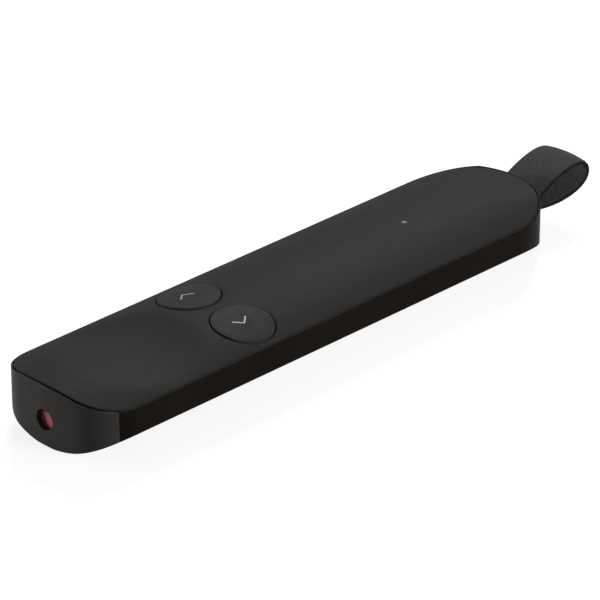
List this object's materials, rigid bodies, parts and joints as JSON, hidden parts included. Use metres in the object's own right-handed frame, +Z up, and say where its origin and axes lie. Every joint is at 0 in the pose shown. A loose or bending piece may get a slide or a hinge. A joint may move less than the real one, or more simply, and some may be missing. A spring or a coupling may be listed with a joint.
{
  "type": "wireless presentation clicker",
  "caption": "Slim handheld presentation remote: crowned cover with finger dish and round sprung keys, laser window in the nose, USB receiver that slides out of the rear on a webbing strap.",
  "frame": {"origin": "middle of the whole object's bounding box, at its lowest face, where the belly's flat strip rests", "axes": "+Y runs lengthwise from the laser nose to the strap, +Z is up through the top cover, +X is the side of the next key"},
  "size_m": [0.03, 0.1397, 0.0127],
  "materials": {
    "cover_soft_touch": "soft-touch matte",
    "shell_brown_black": "fine matte with a faint sheen",
    "nose_grey": "satin",
    "key_soft_touch": "soft-touch matte",
    "inner_plastic": "moulded matte",
    "switch_plastic": "moulded matte",
    "plunger_plastic": "smooth",
    "red_window": "clear red",
    "lens_glass": "clear",
    "clear_pipe": "clear, slightly cloudy",
    "brass": "turned",
    "diode_gold": "plated",
    "board_green": "solder mask",
    "receiver_board_black": "solder mask",
    "battery_foil": "foil pouch",
    "foam": "foam",
    "nickel": "plated sheet",
    "steel": "plated",
    "shield_tin": "tinned",
    "polyimide": "film",
    "connector_plastic": "moulded",
    "ceramic": "fired",
    "led_white": "clear top",
    "grip_plastic": "fine matte",
    "webbing": "woven"
  },
  "bodies": {
    "housing": {"lower_shell": "shell_brown_black", "nose_cap": "nose_grey", "top_cover": "cover_soft_touch", "back_switch": "switch_plastic", "next_switch": "switch_plastic", "laser_window": "red_window", "laser_barrel": "brass", "collimating_lens": "lens_glass", "laser_diode": "diode_gold", "laser_bracket": "inner_plastic", "laser_flex": "polyimide", "chassis": "inner_plastic", "main_board": "board_green", "battery_cell": "battery_foil", "battery_pad": "foam", "battery_tabs": "nickel", "vibration_motor": "steel", "touch_sensor": "polyimide", "sensor_ribbon": "polyimide", "ribbon_connector": "connector_plastic", "radio_shield": "shield_tin", "chip_antenna": "ceramic", "status_led": "led_white", "light_pipe": "clear_pipe", "charging_port": "steel", "charging_tongue": "switch_plastic", "frame_screws": "steel", "receiver_sleeve": "inner_plastic", "retaining_springs": "steel"},
    "back_key": {"back_button": "key_soft_touch", "back_plunger": "plunger_plastic"},
    "next_key": {"next_button": "key_soft_touch", "next_plunger": "plunger_plastic"},
    "receiver": {"receiver_grip": "grip_plastic", "usb_shell": "steel", "usb_board": "receiver_board_black", "strap_pin": "steel", "wrist_strap": "webbing"}
  },
  "joints": [
    {"name": "back_key_press", "type": "slide", "parent": "housing", "child": "back_key", "axis": [0, 0, -1], "range_m": [0, 0.0005], "stiffness_N_per_m": 1500},
    {"name": "next_key_press", "type": "slide", "parent": "housing", "child": "next_key", "axis": [0, 0, -1], "range_m": [0, 0.0005], "stiffness_N_per_m": 1500},
    {"name": "receiver_slide", "type": "slide", "parent": "housing", "child": "receiver", "axis": [0, 1, 0], "range_m": [0, 0.02]}
  ]
}
